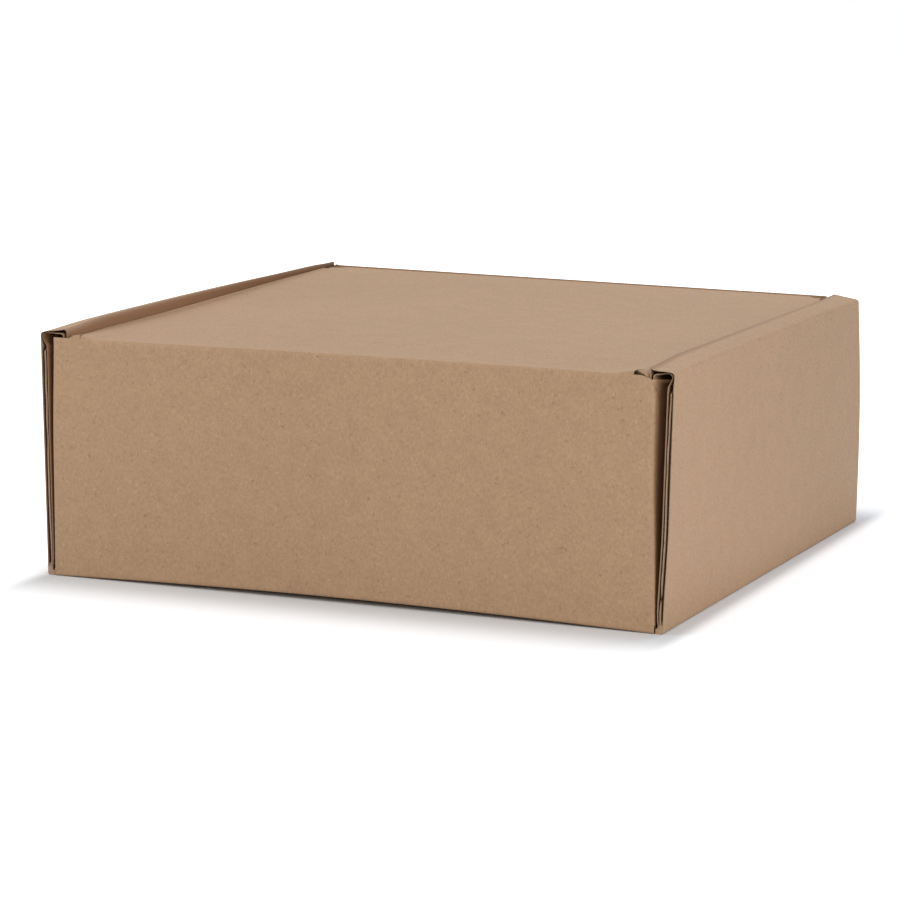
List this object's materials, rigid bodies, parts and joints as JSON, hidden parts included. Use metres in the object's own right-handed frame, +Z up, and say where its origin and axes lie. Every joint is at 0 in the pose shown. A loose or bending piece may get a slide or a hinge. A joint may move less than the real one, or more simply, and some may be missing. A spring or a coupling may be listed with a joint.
{
  "type": "roll-end tuck-top cardboard box",
  "caption": "Flat square carton folded from one sheet of fluted board: floor, end walls, rolled double side walls and a hinged lid with tuck and side flaps.",
  "frame": {"origin": "middle of the floor panel's underside, on the surface the box stands on", "axes": "+Z up; the wall that carries the lid's crease faces -Y; the rolled side walls face -X and +X"},
  "size_m": [0.302, 0.29, 0.116],
  "materials": {
    "kraft_board": "matte brown kraft liner with fine flecks"
  },
  "bodies": {
    "tray": {"tray": "kraft_board"},
    "lid": {"lid": "kraft_board"}
  },
  "joints": [
    {"name": "lid_crease", "type": "hinge", "parent": "tray", "child": "lid", "pos_m": [0, -0.145, 0.113], "axis": [1, 0, 0], "range_deg": [0, 180]}
  ]
}
